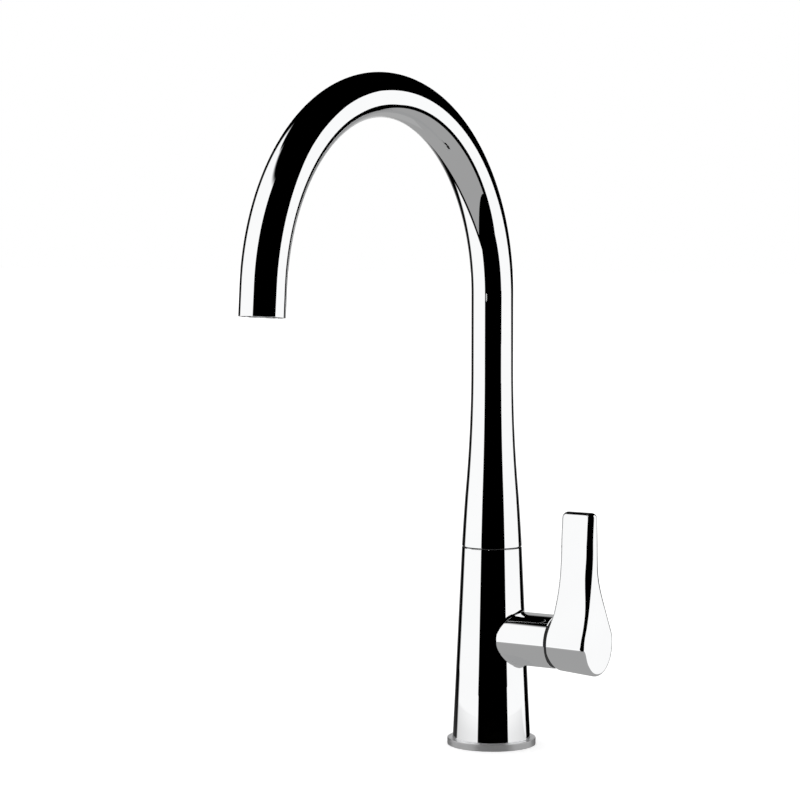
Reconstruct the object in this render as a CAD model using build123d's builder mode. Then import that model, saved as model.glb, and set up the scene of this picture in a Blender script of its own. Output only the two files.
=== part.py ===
from build123d import *
import os
from math import asin, atan2, cos, degrees, hypot, radians, sin

os.makedirs("parts", exist_ok=True)

# Single-lever three-way kitchen tap, in millimetres.
# +Z is up, and z = 0 is the top of the worktop on the axis of the column.
# The spout reaches towards -Y. The side barrel and its lever stand out towards +X.

# Base ring and its gasket
ring_radius = 26.0
ring_height = 4.0
ring_edge = 0.5
register_radius = 19.0
register_height = 1.5
register_fit = 0.1
gasket_radius = 19.6
gasket_width = 3.6
gasket_height = 2.0

# Shank and clamping set below the worktop
shank_radius = 16.5
shank_wall = 2.5
shank_below = 58.0
shank_engagement = 10.0
shank_clearance = 0.4
shank_chamfer = 0.8
worktop_thickness = 30.0
clamp_radius = 27.5
clamp_gasket_height = 2.5
clamp_washer_height = 2.5
nut_flat_radius = 21.0
nut_height = 7.0
nut_flange_radius = 24.5
nut_flange_height = 2.0
nut_chamfer = 0.8

# Lower column
body_height = 112.6
foot_radius = 22.8
joint_radius = 17.6
body_edge = 0.25

# Side barrel
barrel_rise = 60.1
barrel_radius = 15.55
barrel_end = 44.6
barrel_blend = 2.0
barrel_edge = 0.3

# Inlets and waterways
inlet_radius = 4.5
inlet_depth = 12.0
inlet_pitch_radius = 7.2
waterway_radius = 2.4
mixed_riser_setback = 5.5

# Cartridge, from the cavity floor outward along the barrel
cavity_floor = 10.0
cartridge_radius = 12.5
cartridge_fit = 0.1
cartridge_base_height = 4.5
port_count = 5
port_pitch_radius = 7.2
port_seal_width = 1.0
port_seal_height = 1.2
peg_radius = 1.2
peg_length = 2.0
peg_fit = 0.1
peg_pitch_radius = 10.4
housing_length = 21.5
housing_wall = 1.5
lip_width = 1.8
lip_height = 1.5
disc_height = 3.0
disc_fit = 0.03
moving_disc_radius = 8.0
mixing_pocket_depth = 1.5
mixing_pocket_width = 4.4
driver_plate_height = 2.0
driver_key_height = 2.5
driver_key_width = 9.8
driver_key_length = 13.0
running_fit = 0.1
turret_gap = 0.2
turret_neck_rise = 0.8
lug_depth = 1.3
lug_angle = 20.0
stop_slack = 1.0
turn_back = 45.0
turn_front = 90.0

# Spindle and its pivot in the turret
spindle_size = 7.0
spindle_edge = 0.6
spindle_fit = 0.1
spindle_root = 5.5
slot_margin = 2.5
pivot_arm = 9.3
pivot_radius = 1.5
pivot_fit = 0.05
ball_radius = 2.4
ball_fit = 0.1
ball_floor = 0.3
ball_neck_radius = 1.7

# Retaining nut, and the dome in the gap behind the lever
retainer_radius = 14.0
retainer_bore = 9.6
retainer_length = 6.5
retainer_slots = 6
retainer_slot_width = 3.0
retainer_slot_length = 5.0
retainer_slot_depth = 1.6
dome_wall = 1.6
dome_rim = 15.2
dome_bore = 10.6

# Lever
lever_gap = 2.0
lever_width = 25.2
lever_height = 76.3
round_radius_inner = 15.9
round_radius_outer = 17.0
blade_thickness = 8.6
flank_height = 52.0
blade_inner_setback = 1.1
blade_inner_foot = 8.0
blade_inner_height = 30.0
blade_outer_setback = 2.25
blade_outer_foot = 9.0
blade_outer_height = 36.0
tip_setback = 2.8
blade_bend_radius = 120.0
tip_inner_corner = 3.5
tip_outer_corner = 3.2
relief_start = 5.0
relief_angle = 13.8
lever_edge = 2.6
lever_wall = 2.0
pocket_depth = 11.4
hub_radius = 5.8
hub_length = 8.6
hub_floor = 1.4
hub_fit = 0.05
grub_radius = 2.0
grub_length = 6.0
grub_inset = 4.0
hex_radius = 1.15
hex_depth = 2.5
cap_radius = 2.3
cap_height = 1.6

# Spout: neck, riser, bend and outlet
joint_gap = 0.7
slip_washer_height = 0.4
slip_washer_margin = 0.5
neck_height = 104.7
neck_middle_rise = 34.7
neck_middle_radius = 15.0
spout_radius = 12.0
spout_wall = 1.25
riser_length = 42.3
bend_radius = 110.8
bend_angle = 175.6
outlet_run = 16.4
outlet_edge = 0.3

# Swivel spigot in its chamber, measured down from the joint
chamber_radius = 13.0
chamber_depth = 28.0
spigot_fit = 0.2
spigot_end_gap = 0.4
spigot_wall = 3.8
spigot_seat = 14.0
groove_depth = 1.6
ring_fit = 0.04
slide_ring_height = 3.0
slide_ring_slit = 1.2
slide_ring_drops = (1.0, 22.0)
o_ring_height = 2.4
o_ring_slack = 0.2
o_ring_bevel = 0.5
o_ring_drops = (13.0, 17.4)
stop_drop = 8.5
stop_groove_height = 4.4
stop_groove_depth = 1.9
swivel_half_angle = 70.0
stop_screw_radius = 2.5
stop_tip_radius = 1.8
stop_tip_gap = 0.3
stop_head_inset = 0.5

# Filtered water tube inside the spout
tube_radius = 3.2
tube_wall = 1.0
tube_end_rise = 12.0
seat_depth = 10.0
fitting_radius = 4.95
fitting_fit = 0.05
fitting_height = 10.0
fitting_socket = 5.0
fitting_end_gap = 0.4
fitting_groove_rise = 2.0
fitting_groove_depth = 0.9
fitting_seal_height = 1.6

# Aerator, measured up into the spout from its cut end
aerator_inset = 0.6
aerator_height = 9.0
aerator_lip_height = 1.8
aerator_lip_radius = 8.2
aerator_bore = 9.0
key_notches = 4
key_notch_width = 2.4
key_notch_depth = 1.0
insert_height = 5.0
insert_recess = 1.2
outer_hole_count = 16
outer_hole_pitch = 6.6
inner_hole_count = 10
inner_hole_pitch = 4.3
insert_hole_radius = 0.75
nozzle_inset = 1.4
nozzle_radius = 2.6
nozzle_bore = 1.8
nozzle_shoulder = 9.0
nozzle_socket_wall = 1.2
nozzle_socket_end = 16.0
aerator_seal_height = 1.6
seat_ring_height = 4.5
seat_ring_wall = 1.5

# Places that follow from the sizes above
z_joint = ring_height + body_height
z_spout = z_joint + joint_gap
z_neck_top = z_spout + neck_height
z_bend = z_neck_top + riser_length
z_barrel = ring_height + barrel_rise
z_inlet = ring_height + shank_engagement
z_chamber = z_joint - chamber_depth
z_seat = z_chamber - seat_depth
z_spigot = z_chamber + spigot_end_gap
z_stop = z_joint - stop_drop
shank_hole_radius = shank_radius + shank_clearance
gasket_outer_radius = gasket_radius + gasket_width
bore_radius = spout_radius - spout_wall
spigot_radius = chamber_radius - spigot_fit
groove_radius = spigot_radius - groove_depth
ring_outer_radius = chamber_radius - ring_fit

x_base_top = cavity_floor + cartridge_base_height
x_moving = x_base_top + disc_height + disc_fit
x_driver = x_moving + disc_height
x_driver_plate = x_driver + driver_plate_height
x_driver_top = x_driver_plate + driver_key_height
x_turret = x_driver_plate + turret_gap
x_key_ceiling = x_driver_top + turret_gap
x_housing_top = x_base_top + housing_length
x_lip = x_housing_top - lip_height
x_turret_shoulder = x_lip - turret_gap
x_turret_top = x_housing_top + turret_neck_rise
x_ball = x_driver + ball_floor + ball_radius
x_pivot = x_ball + pivot_arm
x_retainer_top = x_housing_top + retainer_length
housing_bore = cartridge_radius - housing_wall
lip_radius = housing_bore - lip_width
turret_radius = housing_bore - running_fit
turret_neck_radius = lip_radius - running_fit
key_slot_width = driver_key_width + 2 * running_fit
slot_length = spindle_size + 2 * slot_margin

x_lever = barrel_end + lever_gap
x_lever_out = x_lever + lever_width
x_pocket = x_lever + pocket_depth
x_hub = x_pocket - hub_length
x_spindle_end = x_pocket - hub_floor
x_grub = x_pocket - grub_inset
pocket_radius = round_radius_inner - lever_wall

bend_turn = radians(bend_angle)
outlet_y = bend_radius * (cos(bend_turn) - 1) - outlet_run * sin(bend_turn)
outlet_z = z_bend + bend_radius * sin(bend_turn) + outlet_run * cos(bend_turn)


def level(z):
    """Horizontal plane at a height, normal up."""
    return Plane.XY.offset(z)


def across(x):
    """Plane square to the barrel, its x to the rear, its y up and its normal outward."""
    return Plane(origin=(x, 0, z_barrel), x_dir=(0, 1, 0), z_dir=(1, 0, 0))


def outlet(rise):
    """Plane square to the spout's end, a rise above its cut, normal into the spout."""
    inward = (0, sin(bend_turn), -cos(bend_turn))
    origin = (0, outlet_y + rise * inward[1], outlet_z + rise * inward[2])
    return Plane(origin=origin, x_dir=(1, 0, 0), z_dir=inward)


def about_barrel(angle):
    """Plane through the barrel axis, its y turned from upright towards the front."""
    turn = radians(angle)
    return Plane(origin=(0, 0, z_barrel), x_dir=(1, 0, 0), z_dir=(0, -cos(turn), -sin(turn)))


def about_column(angle):
    """Plane through the column axis, its x at an angle from +X."""
    turn = radians(angle)
    return Plane(origin=(0, 0, 0), x_dir=(cos(turn), sin(turn), 0), z_dir=(sin(turn), -cos(turn), 0))


def column_radius(z):
    """Radius of the lower column's cone at a height."""
    return foot_radius + (joint_radius - foot_radius) * (z - ring_height) / body_height


def sleeve(base, length, outer, inner=0.0, mode=Mode.ADD):
    """Round run along a plane's normal, hollow where an inner radius is given."""
    with BuildSketch(base) as section:
        Circle(outer)
        if inner:
            Circle(inner, mode=Mode.SUBTRACT)
    extrude(section.sketch, amount=length, mode=mode)


def sector(base, axis, angle, low, high, inner, outer, mode):
    """Part-turn of a rectangular section that starts in a plane through the axis."""
    across_axis = axis.direction.Z > 0.5
    span, reach = high - low, outer - inner
    middle = ((inner + outer) / 2, (low + high) / 2)
    with BuildSketch(base) as section:
        if across_axis:
            with Locations(middle):
                Rectangle(reach, span)
        else:
            with Locations((middle[1], middle[0])):
                Rectangle(span, reach)
    revolve(section.sketch, axis=axis, revolution_arc=angle, mode=mode)


def drill(points, radius):
    """Waterway of straight drillings through the points, with ball corners."""
    for start, end in zip(points, points[1:]):
        run = Vector(*end) - Vector(*start)
        with BuildSketch(Plane(origin=start, z_dir=run)) as bore:
            Circle(radius)
        extrude(bore.sketch, amount=run.length, mode=Mode.SUBTRACT)
    for corner in points[1:-1]:
        with Locations(corner):
            Sphere(radius, mode=Mode.SUBTRACT)


def port_place(index):
    """Centre of one cartridge port in a plane across the barrel."""
    turn = radians(90 + index * 360 / port_count)
    return (port_pitch_radius * cos(turn), port_pitch_radius * sin(turn))


def inlet_place(angle):
    """Centre of one inlet under the body."""
    turn = radians(angle)
    return (inlet_pitch_radius * cos(turn), inlet_pitch_radius * sin(turn))


# Ports seen from outside the cartridge, counted from the top towards the front
port_places = [port_place(index) for index in range(port_count)]
filtered_out, mixed_out, hot_in, cold_in, filtered_in = port_places
inlet_places = [inlet_place(angle) for angle in (300, 60, 180)]
hot_inlet, cold_inlet, filtered_inlet = inlet_places
peg_places = [
    (peg_pitch_radius * cos(radians(angle)), peg_pitch_radius * sin(radians(angle)))
    for angle in (126, 342)
]

# Base ring, with a register for the column and a groove for the gasket
with BuildPart() as base_ring:
    sleeve(level(0), ring_height, ring_radius, shank_hole_radius)
    sleeve(level(ring_height), register_height, register_radius, shank_hole_radius)
    sleeve(level(0), gasket_height, gasket_outer_radius, gasket_radius, Mode.SUBTRACT)
    rims = base_ring.edges().filter_by(GeomType.CIRCLE).sort_by(SortBy.RADIUS)[-2:]
    fillet(rims.sort_by(Axis.Z)[-1], ring_edge)
base_ring.part.label = "base_ring"
export_step(base_ring.part, "parts/base_ring.step")

with BuildPart() as base_gasket:
    sleeve(level(0), gasket_height, gasket_outer_radius, gasket_radius)
base_gasket.part.label = "base_gasket"
export_step(base_gasket.part, "parts/base_gasket.step")

# Hollow shank: screwed into the body, it takes the three hoses through the worktop
with BuildPart() as threaded_shank:
    sleeve(level(-shank_below), shank_below + z_inlet, shank_radius, shank_radius - shank_wall)
    shank_ends = threaded_shank.edges().filter_by(GeomType.CIRCLE).sort_by(SortBy.RADIUS)[-2:]
    chamfer(shank_ends.sort_by(Axis.Z)[0], shank_chamfer)
threaded_shank.part.label = "threaded_shank"
export_step(threaded_shank.part, "parts/threaded_shank.step")

z_clamp = -worktop_thickness - clamp_gasket_height
with BuildPart() as clamp_gasket:
    sleeve(level(z_clamp), clamp_gasket_height, clamp_radius, shank_hole_radius)
clamp_gasket.part.label = "clamp_gasket"
export_step(clamp_gasket.part, "parts/clamp_gasket.step")

z_washer = z_clamp - clamp_washer_height
with BuildPart() as clamp_washer:
    sleeve(level(z_washer), clamp_washer_height, clamp_radius, shank_hole_radius)
clamp_washer.part.label = "clamp_washer"
export_step(clamp_washer.part, "parts/clamp_washer.step")

# Flanged nut that pulls the tap down onto the worktop
with BuildPart() as shank_nut:
    sleeve(level(z_washer), -nut_flange_height, nut_flange_radius)
    with BuildSketch(level(z_washer - nut_flange_height)) as hexagon:
        RegularPolygon(nut_flat_radius, 6, major_radius=False)
    extrude(amount=-nut_height)
    nut_end = shank_nut.faces().sort_by(Axis.Z)[0]
    chamfer(nut_end.edges(), nut_chamfer)
    sleeve(level(z_washer), -nut_flange_height - nut_height, shank_radius, mode=Mode.SUBTRACT)
shank_nut.part.label = "shank_nut"
export_step(shank_nut.part, "parts/shank_nut.step")

# Lower column with its side barrel, swivel chamber, cartridge cavity and waterways
with BuildPart() as lower_body:
    with BuildSketch(Plane.XZ) as cone_section:
        with BuildLine():
            Polyline(
                (0, ring_height),
                (foot_radius, ring_height),
                (joint_radius, z_joint),
                (0, z_joint),
                close=True,
            )
        make_face()
    revolve(axis=Axis.Z)
    sleeve(across(0), barrel_end, barrel_radius)
    barrel_rim = lower_body.edges().filter_by(GeomType.CIRCLE).sort_by(Axis.X)[-1]
    joint_rim = lower_body.edges().filter_by(GeomType.CIRCLE).sort_by(Axis.Z)[-1]
    foot_rim = lower_body.edges().filter_by(GeomType.CIRCLE).sort_by(Axis.Z)[0]
    fillet(lower_body.edges().filter_by(GeomType.BSPLINE), barrel_blend)
    chamfer(barrel_rim, barrel_edge)
    chamfer((joint_rim, foot_rim), body_edge)
    # Register recess, shank thread and the three tapped inlets
    register_recess = register_height + register_fit
    sleeve(level(ring_height), register_recess, register_radius + register_fit, mode=Mode.SUBTRACT)
    sleeve(level(ring_height), shank_engagement, shank_radius, mode=Mode.SUBTRACT)
    with BuildSketch(level(z_inlet)):
        with Locations(*inlet_places):
            Circle(inlet_radius)
    extrude(amount=inlet_depth, mode=Mode.SUBTRACT)
    # Swivel chamber and the seat of the filtered water tube
    sleeve(level(z_chamber), chamber_depth, chamber_radius, mode=Mode.SUBTRACT)
    sleeve(level(z_seat), seat_depth, fitting_radius + fitting_fit, mode=Mode.SUBTRACT)
    # Cartridge cavity, retaining thread and peg holes
    cavity_radius = cartridge_radius + cartridge_fit
    sleeve(across(cavity_floor), x_housing_top - cavity_floor, cavity_radius, mode=Mode.SUBTRACT)
    sleeve(across(x_housing_top), barrel_end - x_housing_top, retainer_radius, mode=Mode.SUBTRACT)
    with BuildSketch(across(cavity_floor)):
        with Locations(*peg_places):
            Circle(peg_radius + peg_fit)
    extrude(amount=-peg_length - peg_fit, mode=Mode.SUBTRACT)
    # Waterways between the inlets, the cartridge ports and the swivel chamber
    z_inlet_end = z_inlet + inlet_depth
    for inlet, port in ((hot_inlet, hot_in), (cold_inlet, cold_in)):
        z_port = z_barrel + port[1]
        foot = (inlet[0], port[0], z_inlet_end)
        drill([foot, (inlet[0], port[0], z_port), (cavity_floor, port[0], z_port)], waterway_radius)
    z_port = z_barrel + filtered_in[1]
    filtered_rise = [
        (*filtered_inlet, z_inlet_end),
        (*filtered_inlet, z_port),
        (filtered_inlet[0], filtered_in[0], z_port),
        (cavity_floor, filtered_in[0], z_port),
    ]
    drill(filtered_rise, waterway_radius)
    z_port = z_barrel + filtered_out[1]
    drill([(cavity_floor, 0, z_port), (0, 0, z_port), (0, 0, z_seat)], waterway_radius)
    z_port = z_barrel + mixed_out[1]
    mixed_rise = [
        (cavity_floor, mixed_out[0], z_port),
        (-mixed_riser_setback, mixed_out[0], z_port),
        (-mixed_riser_setback, mixed_out[0], z_chamber),
    ]
    drill(mixed_rise, waterway_radius)
    # Tapped hole for the swivel stop, at the rear
    stop_hole = Plane(origin=(0, 0, z_stop), x_dir=(1, 0, 0), z_dir=(0, 1, 0))
    sleeve(stop_hole, foot_radius, stop_screw_radius, mode=Mode.SUBTRACT)
lower_body.part.label = "lower_body"
export_step(lower_body.part, "parts/lower_body.step")

# Stop screw: its tip runs in the spigot's groove, holds the spout down and ends its swing
with BuildPart() as swivel_stop_screw:
    tip_reach = spigot_radius - stop_groove_depth + stop_tip_gap
    head_reach = column_radius(z_stop) - stop_head_inset
    sleeve(stop_hole.offset(tip_reach), head_reach - tip_reach, stop_tip_radius)
    sleeve(stop_hole.offset(chamber_radius), head_reach - chamber_radius, stop_screw_radius)
    with BuildSketch(stop_hole.offset(head_reach)):
        RegularPolygon(hex_radius, 6)
    extrude(amount=-hex_depth, mode=Mode.SUBTRACT)
swivel_stop_screw.part.label = "swivel_stop_screw"
export_step(swivel_stop_screw.part, "parts/swivel_stop_screw.step")

# Cartridge base: five ports, their seal recesses and two locating pegs
with BuildPart() as cartridge_base:
    sleeve(across(cavity_floor), cartridge_base_height, cartridge_radius)
    with BuildSketch(across(cavity_floor)):
        with Locations(*port_places):
            Circle(waterway_radius)
    extrude(amount=cartridge_base_height, mode=Mode.SUBTRACT)
    with BuildSketch(across(cavity_floor)):
        with Locations(*port_places):
            Circle(waterway_radius + port_seal_width)
    extrude(amount=port_seal_height, mode=Mode.SUBTRACT)
    with BuildSketch(across(cavity_floor)):
        with Locations(*peg_places):
            Circle(peg_radius)
    extrude(amount=-peg_length)
cartridge_base.part.label = "cartridge_base"
export_step(cartridge_base.part, "parts/cartridge_base.step")

with BuildPart() as cartridge_seals:
    with BuildSketch(across(cavity_floor)):
        with Locations(*port_places):
            Circle(waterway_radius + port_seal_width)
            Circle(waterway_radius, mode=Mode.SUBTRACT)
    extrude(amount=port_seal_height)
cartridge_seals.part.label = "cartridge_seals"
export_step(cartridge_seals.part, "parts/cartridge_seals.step")

# Cartridge housing, its lip cut away where the turret's lug turns
with BuildPart() as cartridge_housing:
    sleeve(across(x_base_top), housing_length, cartridge_radius, housing_bore)
    sleeve(across(x_lip), lip_height, housing_bore, lip_radius)
    lug_half_angle = lug_angle / 2
    lug_sweep = turn_back + turn_front + 2 * (lug_half_angle + stop_slack)
    lug_reach = turret_neck_radius + lug_depth
    sector(
        about_barrel(-turn_back - lug_half_angle - stop_slack),
        Axis((0, 0, z_barrel), (1, 0, 0)),
        lug_sweep,
        x_lip,
        x_housing_top,
        lip_radius - running_fit,
        lug_reach + running_fit,
        Mode.SUBTRACT,
    )
cartridge_housing.part.label = "cartridge_housing"
export_step(cartridge_housing.part, "parts/cartridge_housing.step")

with BuildPart() as fixed_ceramic_disc:
    sleeve(across(x_base_top), disc_height, housing_bore)
    with BuildSketch(across(x_base_top)):
        with Locations(*port_places):
            Circle(waterway_radius)
    extrude(amount=disc_height, mode=Mode.SUBTRACT)
fixed_ceramic_disc.part.label = "fixed_ceramic_disc"
export_step(fixed_ceramic_disc.part, "parts/fixed_ceramic_disc.step")

# Moving disc: a crescent pocket in its face joins the ports it is slid over
with BuildPart() as moving_ceramic_disc:
    sleeve(across(x_moving), disc_height, moving_disc_radius)
    with BuildSketch(across(x_moving)):
        SlotArc(
            CenterArc((0, 0), moving_disc_radius / 2, 200, 140),
            mixing_pocket_width,
        )
    extrude(amount=mixing_pocket_depth, mode=Mode.SUBTRACT)
moving_ceramic_disc.part.label = "moving_ceramic_disc"
export_step(moving_ceramic_disc.part, "parts/moving_ceramic_disc.step")

# Driver bonded on the moving disc: its key slides in the turret, its socket holds the ball
with BuildPart() as disc_driver:
    sleeve(across(x_driver), driver_plate_height, moving_disc_radius)
    with BuildSketch(across(x_driver_plate)):
        Rectangle(driver_key_width, driver_key_length)
    extrude(amount=driver_key_height)
    socket_floor = x_driver + ball_floor - ball_fit
    sleeve(across(socket_floor), x_driver_top - socket_floor, ball_radius + ball_fit, mode=Mode.SUBTRACT)
disc_driver.part.label = "disc_driver"
export_step(disc_driver.part, "parts/disc_driver.step")

# Turret: turns in the housing, slotted for the spindle, bored across for its pivot
pivot_plane = Plane(origin=(x_pivot, 0, z_barrel), x_dir=(1, 0, 0), z_dir=(0, 1, 0))
with BuildPart() as turret:
    sleeve(across(x_turret), x_turret_shoulder - x_turret, turret_radius)
    sleeve(across(x_turret_shoulder), x_turret_top - x_turret_shoulder, turret_neck_radius)
    sector(
        about_barrel(-lug_half_angle),
        Axis((0, 0, z_barrel), (1, 0, 0)),
        lug_angle,
        x_turret_shoulder,
        x_housing_top,
        turret_neck_radius - running_fit,
        lug_reach,
        Mode.ADD,
    )
    with BuildSketch(across(x_turret)):
        Rectangle(key_slot_width, 2 * housing_bore)
    extrude(amount=x_key_ceiling - x_turret, mode=Mode.SUBTRACT)
    with BuildSketch(across(x_key_ceiling)):
        Rectangle(spindle_size + 2 * spindle_fit, slot_length)
    extrude(amount=x_turret_top - x_key_ceiling, mode=Mode.SUBTRACT)
    sleeve(pivot_plane, turret_radius, pivot_radius, mode=Mode.SUBTRACT)
    sleeve(pivot_plane, -turret_radius, pivot_radius, mode=Mode.SUBTRACT)
turret.part.label = "turret"
export_step(turret.part, "parts/turret.step")

pin_half_length = turret_radius - spindle_edge
with BuildPart() as pivot_pin:
    sleeve(pivot_plane.offset(-pin_half_length), 2 * pin_half_length, pivot_radius)
pivot_pin.part.label = "pivot_pin"
export_step(pivot_pin.part, "parts/pivot_pin.step")

# Spindle: square where the lever grips it, with a ball that moves the discs
x_square = x_pivot - spindle_root
with BuildPart() as spindle:
    with BuildSketch(across(x_square)):
        Rectangle(spindle_size, spindle_size)
    extrude(amount=x_spindle_end - x_square)
    chamfer(spindle.edges().filter_by(Axis.X), spindle_edge)
    sleeve(across(x_ball), x_square - x_ball, ball_neck_radius)
    with Locations((x_ball, 0, z_barrel)):
        Sphere(ball_radius)
    sleeve(pivot_plane, spindle_size, pivot_radius + pivot_fit, mode=Mode.SUBTRACT)
    sleeve(pivot_plane, -spindle_size, pivot_radius + pivot_fit, mode=Mode.SUBTRACT)
spindle.part.label = "spindle"
export_step(spindle.part, "parts/spindle.step")

# Slotted nut that holds the cartridge down
with BuildPart() as cartridge_retaining_nut:
    sleeve(across(x_housing_top), retainer_length, retainer_radius, retainer_bore)
    with BuildSketch(across(x_retainer_top)):
        with PolarLocations(retainer_bore, retainer_slots):
            Rectangle(retainer_slot_length, retainer_slot_width)
    extrude(amount=-retainer_slot_depth, mode=Mode.SUBTRACT)
cartridge_retaining_nut.part.label = "cartridge_retaining_nut"
export_step(cartridge_retaining_nut.part, "parts/cartridge_retaining_nut.step")

# Dome: a spherical collar about the spindle's pivot, seen in the gap behind the lever
dome_radius = hypot(barrel_end - x_pivot, dome_rim)
dome_end = x_pivot + (dome_radius**2 - dome_bore**2) ** 0.5
with BuildPart() as dome_ring:
    sleeve(across(x_retainer_top), barrel_end - x_retainer_top, retainer_radius, retainer_radius - dome_wall)
    with BuildSketch(Plane.XZ) as dome_section:
        with Locations((x_pivot, z_barrel)):
            Circle(dome_radius)
            Circle(dome_radius - dome_wall, mode=Mode.SUBTRACT)
        with Locations((barrel_end, z_barrel + dome_bore)):
            Rectangle(dome_radius, dome_radius, align=Align.MIN, mode=Mode.INTERSECT)
    revolve(axis=Axis((0, 0, z_barrel), (1, 0, 0)))
dome_ring.part.label = "dome_ring"
export_step(dome_ring.part, "parts/dome_ring.step")


def lever_outline(round_radius):
    """Lever seen from the side: a round foot whose flanks sweep up into a thin blade."""
    half = blade_thickness / 2
    flank_radius = (half**2 + flank_height**2 - round_radius**2) / (2 * (round_radius - half))
    lean = degrees(atan2(flank_height, half + flank_radius))
    with BuildLine() as outline:
        CenterArc((0, 0), round_radius, -90, 90 + lean)
        CenterArc((half + flank_radius, flank_height), flank_radius, 180 + lean, -lean)
        Polyline((half, flank_height), (half, lever_height + lever_edge), (0, lever_height + lever_edge))
        mirror(about=Plane.YZ)
    make_face(outline.edges())


# Lever: lofted outline cut to its side profile, hollowed for the dome, with a square hub
relief_depth = 2 * round_radius_outer
relief_setback = (relief_depth - relief_start) * sin(radians(relief_angle)) / cos(radians(relief_angle))
blade_top = z_barrel + lever_height
side_corners = [
    (x_lever, z_barrel - relief_start),
    (x_lever + relief_setback, z_barrel - relief_depth),
    (x_lever_out, z_barrel - relief_depth),
    (x_lever_out, z_barrel + blade_outer_foot),
    (x_lever_out - blade_outer_setback, z_barrel + blade_outer_height),
    (x_lever_out - tip_setback, blade_top),
    (x_lever + blade_inner_setback, blade_top),
    (x_lever + blade_inner_setback, z_barrel + blade_inner_height),
    (x_lever, z_barrel + blade_inner_foot),
]
side_rounds = [
    0,
    0,
    0,
    blade_bend_radius,
    blade_bend_radius,
    tip_outer_corner,
    tip_inner_corner,
    blade_bend_radius,
    blade_bend_radius,
]
with BuildPart() as lever_handle:
    with BuildSketch(across(x_lever - lever_gap)):
        lever_outline(round_radius_inner)
    with BuildSketch(across(x_lever_out + lever_gap)):
        lever_outline(round_radius_outer)
    loft(ruled=True)
    with BuildSketch(Plane.XZ):
        with BuildLine():
            FilletPolyline(*side_corners, radius=side_rounds, close=True)
        make_face()
    extrude(amount=relief_depth, both=True, mode=Mode.INTERSECT)
    # Every edge of the two silhouettes is rounded, except the rim that faces the barrel
    side_edges = lever_handle.edges().filter_by(Axis.Y, reverse=True)
    rim_edges = side_edges.filter_by(lambda edge: edge.center().X < x_lever + relief_setback and (
        edge.center().Z < z_barrel + blade_inner_foot
    ))
    fillet([edge for edge in side_edges if edge not in rim_edges], lever_edge)
    # Pocket over the dome, hub round the spindle and the screw hole under it
    sleeve(across(x_lever - lever_gap), x_pocket - x_lever + lever_gap, pocket_radius, mode=Mode.SUBTRACT)
    sleeve(across(x_hub), hub_length, hub_radius)
    with BuildSketch(across(x_hub)):
        Rectangle(spindle_size + 2 * hub_fit, spindle_size + 2 * hub_fit)
    extrude(amount=x_spindle_end + hub_fit - x_hub, mode=Mode.SUBTRACT)
    grub_plane = Plane(origin=(x_grub, 0, z_barrel), x_dir=(1, 0, 0), z_dir=(0, 0, -1))
    sleeve(grub_plane, pocket_radius, grub_radius, mode=Mode.SUBTRACT)
    sleeve(grub_plane.offset(hub_radius), round_radius_outer, cap_radius, mode=Mode.SUBTRACT)
lever_handle.part.label = "lever_handle"
export_step(lever_handle.part, "parts/lever_handle.step")

with BuildPart() as lever_grub_screw:
    sleeve(grub_plane.offset(spindle_size / 2), grub_length, grub_radius)
    with BuildSketch(grub_plane.offset(spindle_size / 2 + grub_length)):
        RegularPolygon(hex_radius, 6)
    extrude(amount=-hex_depth, mode=Mode.SUBTRACT)
lever_grub_screw.part.label = "lever_grub_screw"
export_step(lever_grub_screw.part, "parts/lever_grub_screw.step")

with BuildPart() as screw_hole_cap:
    sleeve(grub_plane.offset(round_radius_inner), -cap_height, cap_radius)
screw_hole_cap.part.label = "screw_hole_cap"
export_step(screw_hole_cap.part, "parts/screw_hole_cap.step")


def spout_line(bottom, outlet_rise):
    """Centreline of the spout from a height on the column to a rise above the outlet."""
    with BuildLine(Plane.YZ) as line:
        Line((0, bottom), (0, z_bend))
        bend = CenterArc((-bend_radius, z_bend), bend_radius, 0, bend_angle)
        Line(bend @ 1, bend @ 1 + (bend % 1) * (outlet_run - outlet_rise))
    return line.wire()


# Spout: trumpet neck, riser and bend in one hollow piece
with BuildPart() as spout_tube:
    with BuildSketch(Plane.XZ):
        with BuildLine():
            Polyline((spout_radius, z_neck_top), (0, z_neck_top), (0, z_spout), (joint_radius, z_spout))
            upper_flank = TangentArc(
                (spout_radius, z_neck_top),
                (neck_middle_radius, z_spout + neck_middle_rise),
                tangent=(0, -1),
            )
            TangentArc(upper_flank @ 1, (joint_radius, z_spout), tangent=upper_flank % 1)
        make_face()
    revolve(axis=Axis.Z)
    neck_rim = spout_tube.edges().filter_by(GeomType.CIRCLE).sort_by(Axis.Z)[0]
    chamfer(neck_rim, body_edge)
    with BuildSketch(level(z_neck_top)):
        Circle(spout_radius)
    sweep(path=spout_line(z_neck_top, 0))
    outlet_rim = spout_tube.edges().filter_by(GeomType.CIRCLE).sort_by(Axis.Y)[0]
    fillet(outlet_rim, outlet_edge)
    with BuildSketch(level(z_spout)):
        Circle(bore_radius)
    sweep(path=spout_line(z_spout, 0), mode=Mode.SUBTRACT)
    sleeve(level(z_spout), spigot_seat, spigot_radius, mode=Mode.SUBTRACT)
spout_tube.part.label = "spout_tube"
export_step(spout_tube.part, "parts/spout_tube.step")

# Low-friction washer in the line between the lower column and the spout
with BuildPart() as slip_washer:
    washer_inner = chamber_radius + slip_washer_margin
    sleeve(level(z_joint), slip_washer_height, joint_radius - slip_washer_margin, washer_inner)
slip_washer.part.label = "slip_washer"
export_step(slip_washer.part, "parts/slip_washer.step")

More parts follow.
